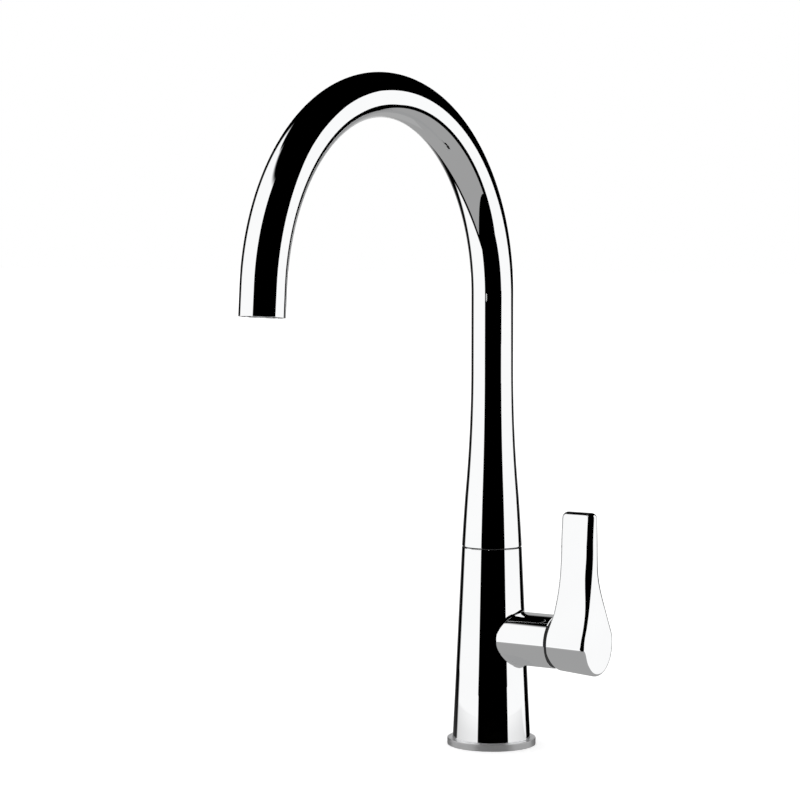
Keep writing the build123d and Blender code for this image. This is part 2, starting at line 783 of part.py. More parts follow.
# Spigot brazed in the neck: grooves for two slide rings, two o-rings and the stop
with BuildPart() as swivel_spigot:
    spigot_height = z_spout + spigot_seat - z_spigot
    sleeve(level(z_spigot), spigot_height, spigot_radius, spigot_radius - spigot_wall)
    for drop in slide_ring_drops:
        groove = level(z_joint - drop - slide_ring_height)
        sleeve(groove, slide_ring_height, chamber_radius, groove_radius, Mode.SUBTRACT)
    for drop in o_ring_drops:
        groove = level(z_joint - drop - o_ring_height)
        sleeve(groove, o_ring_height, chamber_radius, groove_radius, Mode.SUBTRACT)
    tip_half_angle = degrees(asin(stop_tip_radius / (spigot_radius - stop_groove_depth)))
    groove_half_angle = swivel_half_angle + tip_half_angle + stop_slack
    sector(
        about_column(90 - groove_half_angle),
        Axis.Z,
        2 * groove_half_angle,
        z_stop - stop_groove_height / 2,
        z_stop + stop_groove_height / 2,
        spigot_radius - stop_groove_depth,
        chamber_radius,
        Mode.SUBTRACT,
    )
swivel_spigot.part.label = "swivel_spigot"
export_step(swivel_spigot.part, "parts/swivel_spigot.step")

# Split rings that centre the spigot, one near each end
for name, drop in zip(("upper_slide_ring", "lower_slide_ring"), slide_ring_drops):
    with BuildPart() as slide_ring:
        sleeve(level(z_joint - drop - slide_ring_height), slide_ring_height, ring_outer_radius, groove_radius)
        with BuildSketch(level(z_joint - drop)):
            with Locations((-chamber_radius, 0)):
                Rectangle(chamber_radius, slide_ring_slit)
        extrude(amount=-slide_ring_height, mode=Mode.SUBTRACT)
    slide_ring.part.label = name
    export_step(slide_ring.part, f"parts/{name}.step")

with BuildPart() as spigot_o_rings:
    with BuildSketch(Plane.XZ) as o_ring_sections:
        for drop in o_ring_drops:
            with Locations(((groove_radius + ring_outer_radius) / 2, z_joint - drop - o_ring_height / 2)):
                Rectangle(ring_outer_radius - groove_radius, o_ring_height - o_ring_slack)
        chamfer(o_ring_sections.vertices(), o_ring_bevel)
    revolve(axis=Axis.Z)
spigot_o_rings.part.label = "spigot_o_rings"
export_step(spigot_o_rings.part, "parts/spigot_o_rings.step")

# Filtered water tube: from its fitting in the body up and over to the outlet
z_fitting = z_seat + fitting_end_gap
z_tube = z_fitting + fitting_height - fitting_socket
with BuildPart() as filtered_water_tube:
    with BuildSketch(level(z_tube)):
        Circle(tube_radius)
        Circle(tube_radius - tube_wall, mode=Mode.SUBTRACT)
    sweep(path=spout_line(z_tube, tube_end_rise))
filtered_water_tube.part.label = "filtered_water_tube"
export_step(filtered_water_tube.part, "parts/filtered_water_tube.step")

with BuildPart() as tube_fitting:
    sleeve(level(z_fitting), fitting_height, fitting_radius, tube_radius - tube_wall)
    sleeve(level(z_tube), fitting_socket, tube_radius, mode=Mode.SUBTRACT)
    fitting_groove = level(z_fitting + fitting_groove_rise)
    fitting_groove_radius = fitting_radius - fitting_groove_depth
    sleeve(fitting_groove, fitting_seal_height, ring_outer_radius, fitting_groove_radius, Mode.SUBTRACT)
tube_fitting.part.label = "tube_fitting"
export_step(tube_fitting.part, "parts/tube_fitting.step")

with BuildPart() as tube_fitting_seal:
    sleeve(fitting_groove, fitting_seal_height, fitting_radius, fitting_groove_radius)
tube_fitting_seal.part.label = "tube_fitting_seal"
export_step(tube_fitting_seal.part, "parts/tube_fitting_seal.step")

# Recessed aerator: threaded housing, insert for the mixed water, nozzle for the filtered
aerator_top = aerator_inset + aerator_height
with BuildPart() as aerator_housing:
    sleeve(outlet(aerator_inset), aerator_height, bore_radius, aerator_lip_radius)
    insert_seat = aerator_inset + aerator_lip_height
    sleeve(outlet(insert_seat), aerator_height, aerator_bore, mode=Mode.SUBTRACT)
    with BuildSketch(outlet(aerator_inset)):
        with PolarLocations(aerator_lip_radius, key_notches, start_angle=45):
            Rectangle(key_notch_width, key_notch_width)
    extrude(amount=key_notch_depth, mode=Mode.SUBTRACT)
aerator_housing.part.label = "aerator_housing"
export_step(aerator_housing.part, "parts/aerator_housing.step")

with BuildPart() as aerator_insert:
    sleeve(outlet(insert_seat), insert_height, aerator_bore, nozzle_radius)
    sleeve(outlet(insert_seat + insert_height), -insert_recess, aerator_lip_radius, nozzle_radius, Mode.SUBTRACT)
    with BuildSketch(outlet(insert_seat)):
        with PolarLocations(outer_hole_pitch, outer_hole_count):
            Circle(insert_hole_radius)
        with PolarLocations(inner_hole_pitch, inner_hole_count):
            Circle(insert_hole_radius)
    extrude(amount=insert_height, mode=Mode.SUBTRACT)
aerator_insert.part.label = "aerator_insert"
export_step(aerator_insert.part, "parts/aerator_insert.step")

with BuildPart() as filtered_nozzle:
    sleeve(outlet(nozzle_inset), nozzle_shoulder - nozzle_inset, nozzle_radius, nozzle_bore)
    socket_radius = tube_radius + nozzle_socket_wall
    sleeve(outlet(nozzle_shoulder), nozzle_socket_end - nozzle_shoulder, socket_radius, nozzle_bore)
    sleeve(outlet(tube_end_rise), nozzle_socket_end - tube_end_rise, tube_radius, mode=Mode.SUBTRACT)
filtered_nozzle.part.label = "filtered_nozzle"
export_step(filtered_nozzle.part, "parts/filtered_nozzle.step")

with BuildPart() as aerator_seal:
    sleeve(outlet(aerator_top), aerator_seal_height, bore_radius, aerator_lip_radius)
aerator_seal.part.label = "aerator_seal"
export_step(aerator_seal.part, "parts/aerator_seal.step")

# Ring brazed in the spout: the aerator's seal presses on it
with BuildPart() as outlet_seat_ring:
    sleeve(outlet(aerator_top + aerator_seal_height), seat_ring_height, bore_radius, bore_radius - seat_ring_wall)
outlet_seat_ring.part.label = "outlet_seat_ring"
export_step(outlet_seat_ring.part, "parts/outlet_seat_ring.step")
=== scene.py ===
import math

import bmesh
import bpy
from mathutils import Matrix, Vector
from mathutils.bvhtree import BVHTree
from mathutils.interpolate import poly_3d_calc


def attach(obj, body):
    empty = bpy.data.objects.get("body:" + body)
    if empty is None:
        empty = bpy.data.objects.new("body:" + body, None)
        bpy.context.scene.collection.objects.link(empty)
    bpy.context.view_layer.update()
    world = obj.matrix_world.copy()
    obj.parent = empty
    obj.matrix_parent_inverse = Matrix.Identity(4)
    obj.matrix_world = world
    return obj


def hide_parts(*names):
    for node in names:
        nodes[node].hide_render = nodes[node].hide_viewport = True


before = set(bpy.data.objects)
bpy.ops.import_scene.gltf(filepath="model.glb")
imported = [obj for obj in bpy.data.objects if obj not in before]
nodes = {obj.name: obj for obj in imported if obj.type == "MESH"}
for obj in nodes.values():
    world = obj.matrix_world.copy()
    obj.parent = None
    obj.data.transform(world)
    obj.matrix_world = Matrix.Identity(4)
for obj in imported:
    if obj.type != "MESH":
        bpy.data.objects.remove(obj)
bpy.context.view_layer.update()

# Camera, solved from the photograph: it stands in front of the tap, a little to the right
CAMERA_PLACE = Vector((0.7918, -1.2695, 0.2948))
CAMERA_AZIMUTH = math.radians(31.95)
CAMERA_YAW = math.radians(2.067)
CAMERA_PITCH = math.radians(3.522)
CAMERA_LENS = 115.24
SENSOR_WIDTH = 36.0
CAMERA_REACH = 50


def photo_camera():
    """The camera at the photograph's place, aimed as it was."""
    back = Vector((math.sin(CAMERA_AZIMUTH), -math.cos(CAMERA_AZIMUTH), 0))
    right = Vector((math.cos(CAMERA_AZIMUTH), math.sin(CAMERA_AZIMUTH), 0))
    level_aim = -math.cos(CAMERA_YAW) * back - math.sin(CAMERA_YAW) * right
    aim = math.cos(CAMERA_PITCH) * level_aim - math.sin(CAMERA_PITCH) * Vector((0, 0, 1))
    data = bpy.data.cameras.new("photo_camera")
    data.lens = CAMERA_LENS
    data.sensor_width = SENSOR_WIDTH
    data.clip_end = CAMERA_REACH
    camera = bpy.data.objects.new("photo_camera", data)
    camera.location = CAMERA_PLACE
    camera.rotation_mode = "QUATERNION"
    camera.rotation_quaternion = aim.to_track_quat("-Z", "Y")
    bpy.context.scene.collection.objects.link(camera)
    bpy.context.scene.camera = camera


class Shader:
    """A node tree with short calls for the nodes that the materials share."""

    def __init__(self, owner):
        owner.use_nodes = True
        self.tree = owner.node_tree
        self.tree.nodes.clear()

    def node(self, kind, **settings):
        made = self.tree.nodes.new(kind)
        for name, value in settings.items():
            setattr(made, name, value)
        return made

    def link(self, source, target):
        self.tree.links.new(source, target)

    def feed(self, socket, value):
        """Link a socket or set a plain value."""
        if isinstance(value, bpy.types.NodeSocket):
            self.link(value, socket)
        else:
            socket.default_value = value

    def math(self, operation, first, second=0.0):
        made = self.node("ShaderNodeMath", operation=operation)
        self.feed(made.inputs[0], first)
        self.feed(made.inputs[1], second)
        return made.outputs[0]

    def ramp(self, value, low, high, to_low=0.0, to_high=1.0):
        """Smooth change from one level to another as the value goes from low to high."""
        made = self.node("ShaderNodeMapRange", interpolation_type="SMOOTHSTEP")
        self.feed(made.inputs["Value"], value)
        made.inputs["From Min"].default_value = low
        made.inputs["From Max"].default_value = high
        made.inputs["To Min"].default_value = to_low
        made.inputs["To Max"].default_value = to_high
        return made.outputs["Result"]

    def window(self, value, low, high, soft_low, soft_high):
        """1 between low and high, falling to 0 over soft edges centred on them."""
        rise = self.ramp(value, low - soft_low / 2, low + soft_low / 2)
        fall = self.ramp(value, high - soft_high / 2, high + soft_high / 2, 1.0, 0.0)
        return self.math("MULTIPLY", rise, fall)


# Studio: white to the camera, and for the metal's gloss a dark tent with white panels in it.
# Azimuths are degrees from the camera's side, positive to the right, and elevations are degrees.
# A window is its two edges and how soft each one is; a glance runs from 0 straight on to 1 along.
WORLD_LEVEL = 1.0
FLOOR_HALF = 20
FLOOR_WHITE = 0.94
FLOOR_LIFT = 0.3
TENT_RADIUS = 6.0
TENT_CENTRE_HEIGHT = 0.2
LEFT_PANEL_FAR_EDGE = (-129, -121)
LEFT_PANEL_NEAR_EDGE = (-42, -40.5)
LEFT_PANEL_TOP = (50, 56)
LEFT_PANEL_WIDENS = (10, 35, 0.0, 14.0)
LEFT_PANEL_NARROWS = (40, 52, 0.0, -30.0)
LEFT_GROUND = (-125, -41.3, 8, 1.5)
LEFT_GROUND_FROM = (-0.37, -0.36)
RIGHT_GROUND = (50, 122.5, 1.5, 4)
HORIZON = (-1.0, 0.5)
BEHIND_FROM = 146
BEHIND_LEVEL = 0.6
SKIMMING = (0.76, 0.8)
BOARD_FOOT = 0.591
BOARD_LEAN = 0.464
BOARD_SKEW = 0.046
BOARD_OUTLINE = (
    (-0.35, 0.0), (0.533, 0.0), (0.26, 0.50), (0.245, 0.53), (0.215, 0.555), (0.17, 0.567),
    (0.06, 0.567), (0.02, 0.555), (-0.05, 0.52), (-0.38, 0.18), (-0.38, 0.1),
)
TABLE_SIDES = (-0.30, 0.38)
TABLE_ENDS = (-0.28, 1.5)
TABLE_LEVEL = 0.35
TABLE_GREY_FADES = (0.70, 0.87)
TABLE_MIRRORS = (0.70, 0.925)
TABLE_FAR = (0.10, 0.22)
# Painted shade round the tap's foot: the reach over which the table's mirror dims, and its share there
TABLE_PAINTED_SHADE_NEAR_FOOT = (0.08, 0.2, 0.92, 1.0)
TABLE_TURNS = (100, 108, 0.0, 0.09)
TABLE_BACK_EDGE = (144, 148)
CARD_AWAY = 0.25
CARD_HALF = 0.1
CARD_HEIGHT = 0.34
CARD_LEVEL = 0.4
CARD_SHOWS = (-0.055, 0.075, 0.03, 0.02)
CARD_TOP_FADES = (0.24, 0.32)
SCREEN_RADII = (0.029, 0.022)
SCREEN_HEIGHT = 0.034
SCREEN_MIDDLE = 0.0173
GROUND_GAP = 0.0001
TABLE_GAP = 0.0002


def sees_background(shader):
    """1 for rays from the camera and for rays that metal or glass sends on."""
    path = shader.node("ShaderNodeLightPath")
    gloss = shader.math("MAXIMUM", path.outputs["Is Glossy Ray"], path.outputs["Is Transmission Ray"])
    return shader.math("MAXIMUM", path.outputs["Is Camera Ray"], gloss)


def white_world():
    world = bpy.data.worlds.new("white_studio")
    bpy.context.scene.world = world
    shader = Shader(world)
    lit = shader.node("ShaderNodeBackground")
    lit.inputs["Color"].default_value = (1, 1, 1, 1)
    lit.inputs["Strength"].default_value = WORLD_LEVEL
    output = shader.node("ShaderNodeOutputWorld")
    shader.link(lit.outputs[0], output.inputs["Surface"])


def link_stage(name, mesh, material):
    obj = bpy.data.objects.new(name, mesh)
    bpy.context.scene.collection.objects.link(obj)
    mesh.materials.append(material)
    return obj


def only_for_gloss(obj):
    obj.visible_camera = False
    obj.visible_diffuse = False
    obj.visible_shadow = False
    obj.visible_transmission = False
    obj.rotation_euler = (0, 0, CAMERA_AZIMUTH)


def flat_mesh(name, corners):
    mesh = bpy.data.meshes.new(name)
    mesh.from_pydata(corners, [], [tuple(range(len(corners)))])
    return mesh


def level_sheet(name, sides, ends):
    """Level rectangle between two places across and two places away."""
    (left, right), (front, back) = sides, ends
    return flat_mesh(name, [(left, front, 0), (right, front, 0), (right, back, 0), (left, back, 0)])


def floor():
    """Pale floor at the worktop's level, white to the camera but for the tap's shadow."""
    material = bpy.data.materials.new("pale_floor")
    shader = Shader(material)
    matt = shader.node("ShaderNodeBsdfDiffuse")
    matt.inputs["Color"].default_value = (FLOOR_WHITE, FLOOR_WHITE, FLOOR_WHITE, 1)
    lift = shader.node("ShaderNodeEmission")
    shader.feed(lift.inputs["Strength"], shader.math("MULTIPLY", sees_background(shader), FLOOR_LIFT))
    both = shader.node("ShaderNodeAddShader")
    shader.link(matt.outputs[0], both.inputs[0])
    shader.link(lift.outputs[0], both.inputs[1])
    output = shader.node("ShaderNodeOutputMaterial")
    shader.link(both.outputs[0], output.inputs["Surface"])
    link_stage("floor", level_sheet("floor", (-FLOOR_HALF, FLOOR_HALF), (-FLOOR_HALF, FLOOR_HALF)), material)


def glow(name, build_level):
    """Emission whose level is made by build_level from the place in the studio's own axes."""
    material = bpy.data.materials.new(name)
    shader = Shader(material)
    place = shader.node("ShaderNodeTexCoord").outputs["Object"]
    split = shader.node("ShaderNodeSeparateXYZ")
    shader.link(place, split.inputs[0])
    lamp = shader.node("ShaderNodeEmission")
    shader.feed(lamp.inputs["Strength"], build_level(shader, *split.outputs))
    output = shader.node("ShaderNodeOutputMaterial")
    shader.link(lamp.outputs[0], output.inputs["Surface"])
    return material


def azimuth_of(shader, across, away):
    """Degrees from the camera's side, positive to the right."""
    toward = shader.math("MULTIPLY", away, -1.0)
    return shader.math("DEGREES", shader.math("ARCTAN2", across, toward))


def reach_of(shader, across, away):
    """Level distance from the tap's axis."""
    squares = [shader.math("MULTIPLY", part, part) for part in (across, away)]
    return shader.math("SQRT", shader.math("ADD", *squares))


def behind_level(shader, azimuth):
    """Pale ground far behind the tap, brightest straight behind it."""
    return shader.ramp(shader.math("ABSOLUTE", azimuth), BEHIND_FROM, 180, 0.0, BEHIND_LEVEL)


def tent_level(shader, across, away, up):
    """White panel to the left, wider half-way up and narrow at its top, and the light behind."""
    azimuth = azimuth_of(shader, across, away)
    rise = shader.math("SUBTRACT", up, TENT_CENTRE_HEIGHT)
    elevation = shader.math("DEGREES", shader.math("ARCTAN2", rise, reach_of(shader, across, away)))
    widened = shader.math("ADD", azimuth, shader.ramp(elevation, *LEFT_PANEL_WIDENS))
    shaped = shader.math("ADD", widened, shader.ramp(elevation, *LEFT_PANEL_NARROWS))
    far_edge = shader.ramp(shaped, *LEFT_PANEL_FAR_EDGE)
    near_edge = shader.ramp(azimuth, *LEFT_PANEL_NEAR_EDGE, 1.0, 0.0)
    left = shader.math(
        "MULTIPLY",
        shader.math("MULTIPLY", far_edge, near_edge),
        shader.ramp(elevation, *LEFT_PANEL_TOP, 1.0, 0.0),
    )
    below = shader.ramp(elevation, *HORIZON, 1.0, 0.0)
    return shader.math("MAXIMUM", left, shader.math("MULTIPLY", behind_level(shader, azimuth), below))


def tent():
    mesh = bpy.data.meshes.new("tent")
    build = bmesh.new()
    bmesh.ops.create_uvsphere(build, u_segments=96, v_segments=48, radius=TENT_RADIUS)
    build.to_mesh(mesh)
    build.free()
    only_for_gloss(link_stage("tent", mesh, glow("tent", tent_level)))


def glance_of(shader):
    """Rises from 0 for a look straight at a surface to 1 along it."""
    facing = shader.node("ShaderNodeLayerWeight")
    facing.inputs["Blend"].default_value = 0.5
    return facing.outputs["Facing"]


def ground_level(shader, across, away, up):
    """White ground left and right, which shows to skimming rays, and the light behind."""
    azimuth = azimuth_of(shader, across, away)
    along = shader.ramp(glance_of(shader), *SKIMMING)
    left = shader.math(
        "MULTIPLY",
        shader.window(azimuth, *LEFT_GROUND),
        shader.math("MAXIMUM", along, shader.ramp(across, *LEFT_GROUND_FROM, 1.0, 0.0)),
    )
    right = shader.math("MULTIPLY", shader.window(azimuth, *RIGHT_GROUND), along)
    return shader.math("MAXIMUM", left, shader.math("MAXIMUM", right, behind_level(shader, azimuth)))


def ground():
    sides = (-TENT_RADIUS, TENT_RADIUS)
    obj = link_stage("ground", level_sheet("ground", sides, sides), glow("ground", ground_level))
    obj.location = (0, 0, GROUND_GAP)
    only_for_gloss(obj)


def right_board():
    """White board to the right of the tap, leaning over it, narrower at the top."""
    material = glow("right_board", lambda shader, across, away, up: 1.0)
    outline = [
        (BOARD_FOOT - BOARD_LEAN * height + BOARD_SKEW * front, -front, height)
        for front, height in BOARD_OUTLINE
    ]
    only_for_gloss(link_stage("right_board", flat_mesh("right_board", outline), material))


def table_material():
    """Grey to a steep ray, and more and more a mirror to a skimming one."""
    material = bpy.data.materials.new("grey_table")
    shader = Shader(material)
    place = shader.node("ShaderNodeTexCoord").outputs["Object"]
    split = shader.node("ShaderNodeSeparateXYZ")
    shader.link(place, split.inputs[0])
    azimuth = azimuth_of(shader, split.outputs[0], split.outputs[1])
    glance = shader.math("ADD", glance_of(shader), shader.ramp(azimuth, *TABLE_TURNS))
    skimming = shader.ramp(glance, *SKIMMING)
    reach = reach_of(shader, split.outputs[0], split.outputs[1])
    level = shader.ramp(glance, *TABLE_GREY_FADES, TABLE_LEVEL, 0.0)
    behind = shader.math("MULTIPLY", behind_level(shader, azimuth), skimming)
    grey = shader.node("ShaderNodeEmission")
    shader.link(shader.math("MAXIMUM", level, behind), grey.inputs["Strength"])
    gloss = shader.node("ShaderNodeBsdfGlossy")
    gloss.inputs["Roughness"].default_value = 0.0
    not_behind = shader.ramp(shader.math("ABSOLUTE", azimuth), *TABLE_BACK_EDGE, 1.0, 0.0)
    far = shader.math("MULTIPLY", skimming, shader.ramp(reach, *TABLE_FAR))
    # Painted shade: the table's mirror is a little darker near the tap's foot
    near = shader.math("MULTIPLY", shader.ramp(glance, *TABLE_MIRRORS), shader.ramp(reach, *TABLE_PAINTED_SHADE_NEAR_FOOT))
    mirror = shader.math("MULTIPLY", shader.math("MAXIMUM", far, near), not_behind)
    shader.link(mirror, gloss.inputs["Color"])
    both = shader.node("ShaderNodeAddShader")
    shader.link(grey.outputs[0], both.inputs[0])
    shader.link(gloss.outputs[0], both.inputs[1])
    output = shader.node("ShaderNodeOutputMaterial")
    shader.link(both.outputs[0], output.inputs["Surface"])
    return material


def veil(name, glow_level, build_share):
    """Even glow whose share over what lies behind it is made by build_share from the place."""
    material = bpy.data.materials.new(name)
    shader = Shader(material)
    split = shader.node("ShaderNodeSeparateXYZ")
    shader.link(shader.node("ShaderNodeTexCoord").outputs["Object"], split.inputs[0])
    lamp = shader.node("ShaderNodeEmission")
    lamp.inputs["Strength"].default_value = glow_level
    choice = shader.node("ShaderNodeMixShader")
    shader.feed(choice.inputs[0], build_share(shader, *split.outputs))
    shader.link(shader.node("ShaderNodeBsdfTransparent").outputs[0], choice.inputs[1])
    shader.link(lamp.outputs[0], choice.inputs[2])
    output = shader.node("ShaderNodeOutputMaterial")
    shader.link(choice.outputs[0], output.inputs["Surface"])
    return material


def back_card():
    """Grey card close behind the tap, too low for the top of the bend to mirror it."""
    def share(shader, across, away, up):
        sides = shader.window(across, *CARD_SHOWS)
        return shader.math("MULTIPLY", sides, shader.ramp(up, *CARD_TOP_FADES, 1.0, 0.0))

    bottom = [(-CARD_HALF, CARD_AWAY, 0.0), (CARD_HALF, CARD_AWAY, 0.0)]
    top = [(CARD_HALF, CARD_AWAY, CARD_HEIGHT), (-CARD_HALF, CARD_AWAY, CARD_HEIGHT)]
    material = veil("back_card", CARD_LEVEL, share)
    only_for_gloss(link_stage("back_card", flat_mesh("back_card", bottom + top), material))


def foot_screen():
    """Table-grey cone round the foot, met only from outside, in place of the foot's mirror image."""
    def share(shader, across, away, up):
        return shader.math("SUBTRACT", 1.0, shader.node("ShaderNodeNewGeometry").outputs["Backfacing"])

    mesh = bpy.data.meshes.new("foot_screen")
    build = bmesh.new()
    wide, narrow = SCREEN_RADII
    bmesh.ops.create_cone(build, segments=96, radius1=wide, radius2=narrow, depth=SCREEN_HEIGHT)
    build.to_mesh(mesh)
    build.free()
    obj = link_stage("foot_screen", mesh, veil("foot_screen", TABLE_LEVEL, share))
    obj.location = (0, 0, SCREEN_MIDDLE)
    only_for_gloss(obj)


def table():
    mesh = level_sheet("grey_table", TABLE_SIDES, TABLE_ENDS)
    obj = link_stage("grey_table", mesh, table_material())
    obj.location = (0, 0, TABLE_GAP)
    only_for_gloss(obj)


# Materials of the object
def material_shader(name):
    """A material with a Principled surface, and the place on the piece that its patterns use."""
    material = bpy.data.materials.new(name)
    shader = Shader(material)
    surface = shader.node("ShaderNodeBsdfPrincipled")
    output = shader.node("ShaderNodeOutputMaterial")
    shader.link(surface.outputs[0], output.inputs["Surface"])
    return material, shader, surface, shader.node("ShaderNodeTexCoord").outputs["Object"]


def grain(shader, place, scale, detail=4, stretch=(1, 1, 1)):
    """Noise from 0 to 1, drawn out along the axes where stretch is small."""
    drawn = shader.node("ShaderNodeMapping")
    shader.link(place, drawn.inputs["Vector"])
    drawn.inputs["Scale"].default_value = stretch
    noise = shader.node("ShaderNodeTexNoise")
    noise.inputs["Scale"].default_value = scale
    noise.inputs["Detail"].default_value = detail
    shader.link(drawn.outputs[0], noise.inputs["Vector"])
    return noise.outputs["Fac"]


def tint(shader, amount, dark, light):
    """Colour between two, by an amount from 0 to 1."""
    mix = shader.node("ShaderNodeMix", data_type="RGBA")
    shader.link(amount, mix.inputs["Factor"])
    mix.inputs["A"].default_value = (*dark, 1)
    mix.inputs["B"].default_value = (*light, 1)
    return mix.outputs["Result"]


def relief(shader, surface, height, depth):
    """Surface relief of a real depth in metres."""
    bump = shader.node("ShaderNodeBump")
    bump.inputs["Strength"].default_value = 1.0
    bump.inputs["Distance"].default_value = depth
    shader.link(height, bump.inputs["Height"])
    shader.link(bump.outputs["Normal"], surface.inputs["Normal"])


def round_the_axis(shader, place):
    """Distance from the vertical axis, angle round it and height, as one vector."""
    split = shader.node("ShaderNodeSeparateXYZ")
    shader.link(place, split.inputs[0])
    across, along, up = split.outputs
    joined = shader.node("ShaderNodeCombineXYZ")
    shader.link(reach_of(shader, across, along), joined.inputs[0])
    shader.link(shader.math("ARCTAN2", along, across), joined.inputs[1])
    shader.link(up, joined.inputs[2])
    return joined.outputs[0]


def mirror_chrome():
    """Bright chrome plate: mirror gloss, with a faint haze where hands have wiped it."""
    material, shader, surface, place = material_shader("polished_chrome")
    surface.inputs["Metallic"].default_value = 1.0
    haze = grain(shader, place, 35, detail=5)
    shader.link(tint(shader, haze, (0.93, 0.935, 0.94), (0.975, 0.98, 0.985)), surface.inputs["Base Color"])
    shader.link(shader.ramp(haze, 0.35, 0.75, 0.008, 0.03), surface.inputs["Roughness"])
    return material


def turned_metal(name, dark, light, rough_low, rough_high, line_scale, depth):
    """Metal turned on a lathe: fine lines run round the vertical axis."""
    material, shader, surface, place = material_shader(name)
    surface.inputs["Metallic"].default_value = 1.0
    lines = grain(shader, round_the_axis(shader, place), line_scale, detail=3, stretch=(1, 0.004, 1))
    blotch = grain(shader, place, 60)
    shader.link(tint(shader, blotch, dark, light), surface.inputs["Base Color"])
    shader.link(shader.ramp(lines, 0.3, 0.7, rough_low, rough_high), surface.inputs["Roughness"])
    relief(shader, surface, lines, depth)
    return material


def satin_chrome():
    """Fine blasted chrome, its flat faces painted paler than its side: painted light, as if lit from above.
    """
    material, shader, surface, place = material_shader("satin_chrome")
    surface.inputs["Metallic"].default_value = 0.8
    # Painted light: the base colour is paler where the normal points up or down than on the side
    split = shader.node("ShaderNodeSeparateXYZ")
    shader.link(shader.node("ShaderNodeNewGeometry").outputs["Normal"], split.inputs[0])
    level = shader.ramp(shader.math("ABSOLUTE", split.outputs[2]), 0.4, 0.9)
    fine = grain(shader, place, 2600, detail=2)
    blotch = grain(shader, place, 60)
    parts = shader.math("MULTIPLY", level, 0.9), shader.math("MULTIPLY", blotch, 0.1)
    colour = tint(shader, shader.math("ADD", *parts), (0.52, 0.52, 0.525), (0.94, 0.94, 0.95))
    shader.link(colour, surface.inputs["Base Color"])
    shader.link(shader.ramp(fine, 0.3, 0.7, 0.3, 0.38), surface.inputs["Roughness"])
    relief(shader, surface, fine, 4e-6)
    return material


def moulded(name, dark, light, rough_low, rough_high, scale, depth, sheen=0.5):
    """Moulded plastic, rubber or ceramic with a fine even grain and slight colour change."""
    material, shader, surface, place = material_shader(name)
    surface.inputs["Specular IOR Level"].default_value = sheen
    fine = grain(shader, place, scale, detail=2)
    broad = grain(shader, place, 45)
    shader.link(tint(shader, broad, dark, light), surface.inputs["Base Color"])
    shader.link(shader.ramp(fine, 0.3, 0.7, rough_low, rough_high), surface.inputs["Roughness"])
    relief(shader, surface, fine, depth)
    return material


brass_tones = (0.66, 0.49, 0.22), (0.80, 0.62, 0.31)
steel_tones = (0.52, 0.52, 0.53), (0.66, 0.66, 0.66)
rubber_tones = (0.012, 0.012, 0.013), (0.03, 0.03, 0.031)
dark_tones = (0.02, 0.02, 0.021), (0.04, 0.04, 0.041)
white_tones = (0.76, 0.76, 0.74), (0.84, 0.84, 0.82)
ceramic_tones = (0.84, 0.83, 0.79), (0.91, 0.9, 0.87)
polymer_tones = (0.78, 0.79, 0.78), (0.86, 0.87, 0.86)
slot_materials = {
    "polished_chrome": mirror_chrome(),
    "satin_chrome": satin_chrome(),
    "brass": turned_metal("brass", *brass_tones, 0.2, 0.34, 2000, 8e-6),
    "steel": turned_metal("steel", *steel_tones, 0.22, 0.34, 2200, 6e-6),
    "black_rubber": moulded("black_rubber", *rubber_tones, 0.65, 0.85, 1800, 2e-5),
    "dark_plastic": moulded("dark_plastic", *dark_tones, 0.35, 0.5, 2200, 8e-6),
    "white_plastic": moulded("white_plastic", *white_tones, 0.3, 0.45, 2200, 5e-6),
    "ceramic": moulded("ceramic", *ceramic_tones, 0.12, 0.22, 3000, 1e-6),
    "tube_polymer": moulded("tube_polymer", *polymer_tones, 0.28, 0.4, 1200, 4e-6),
}
for obj in nodes.values():
    for index, plain in enumerate(obj.data.materials):
        obj.data.materials[index] = slot_materials[plain.name]


# Pieces made here in place of plain CAD ones, in millimetres until put_in_place
MM = 0.001
AXIS_HEIGHT = 64.1
LEVER_START = 46.6
LEVER_END = 72.4
LEVER_TOP = 76.3
BLADE_HALF = 4.5
BLADE_TAPER = 1.0
TAPER_POWER = 1.4
FLANK_TOP = 58.0
TIP_ROUND = 2.6
TIP_INNER_CORNER = 3.5
TIP_OUTER_CORNER = 3.2
RELIEF_START = 5.0
RELIEF_SLOPE = math.tan(math.radians(13.8))
# Each bend is the height of its corner, how far it is curved, and its slope above it
INNER_LEAN = ((8, 5, 0.075), (33, 8, -0.07))
OUTER_LEAN = ((9, 6, 0.068), (34, 8, -0.057))
FOOT_START = 44.6
FOOT_LENGTH = 29.2
FOOT_RADIUS = 15.9
FOOT_WIDENS = 1.9
# The depth of a round is kept within these shares of the piece's own depth
OUTER_SHARE = 0.97
INNER_SHARE = 0.9


def bend(height, corner, reach):
    """0 below the corner and rising one for one above it, curved within its reach."""
    past = height - corner
    if abs(past) < reach:
        return (past + reach) ** 2 / (4 * reach)
    return max(past, 0.0)


def lean(height, bends):
    return sum(slope * bend(height, corner, reach) for corner, reach, slope in bends)


def corner_loss(height, radius):
    """How far a rounded corner at the blade's top has drawn in at a height."""
    past = max(0.0, min(radius, height - LEVER_TOP + radius))
    return radius - math.sqrt(radius**2 - past**2)


def lever_start(height):
    """Where the inner face lies at a height above the barrel's axis, set back under its rim."""
    relief = RELIEF_SLOPE * max(0.0, -RELIEF_START - height)
    return LEVER_START + relief + lean(height, INNER_LEAN) + corner_loss(height, TIP_INNER_CORNER)


def lever_end(height):
    """Where the outer face lies at a height above the barrel's axis."""
    return LEVER_END - lean(height, OUTER_LEAN) - corner_loss(height, TIP_OUTER_CORNER)


def foot_radius(along):
    return FOOT_RADIUS + FOOT_WIDENS * (along - FOOT_START) / FOOT_LENGTH


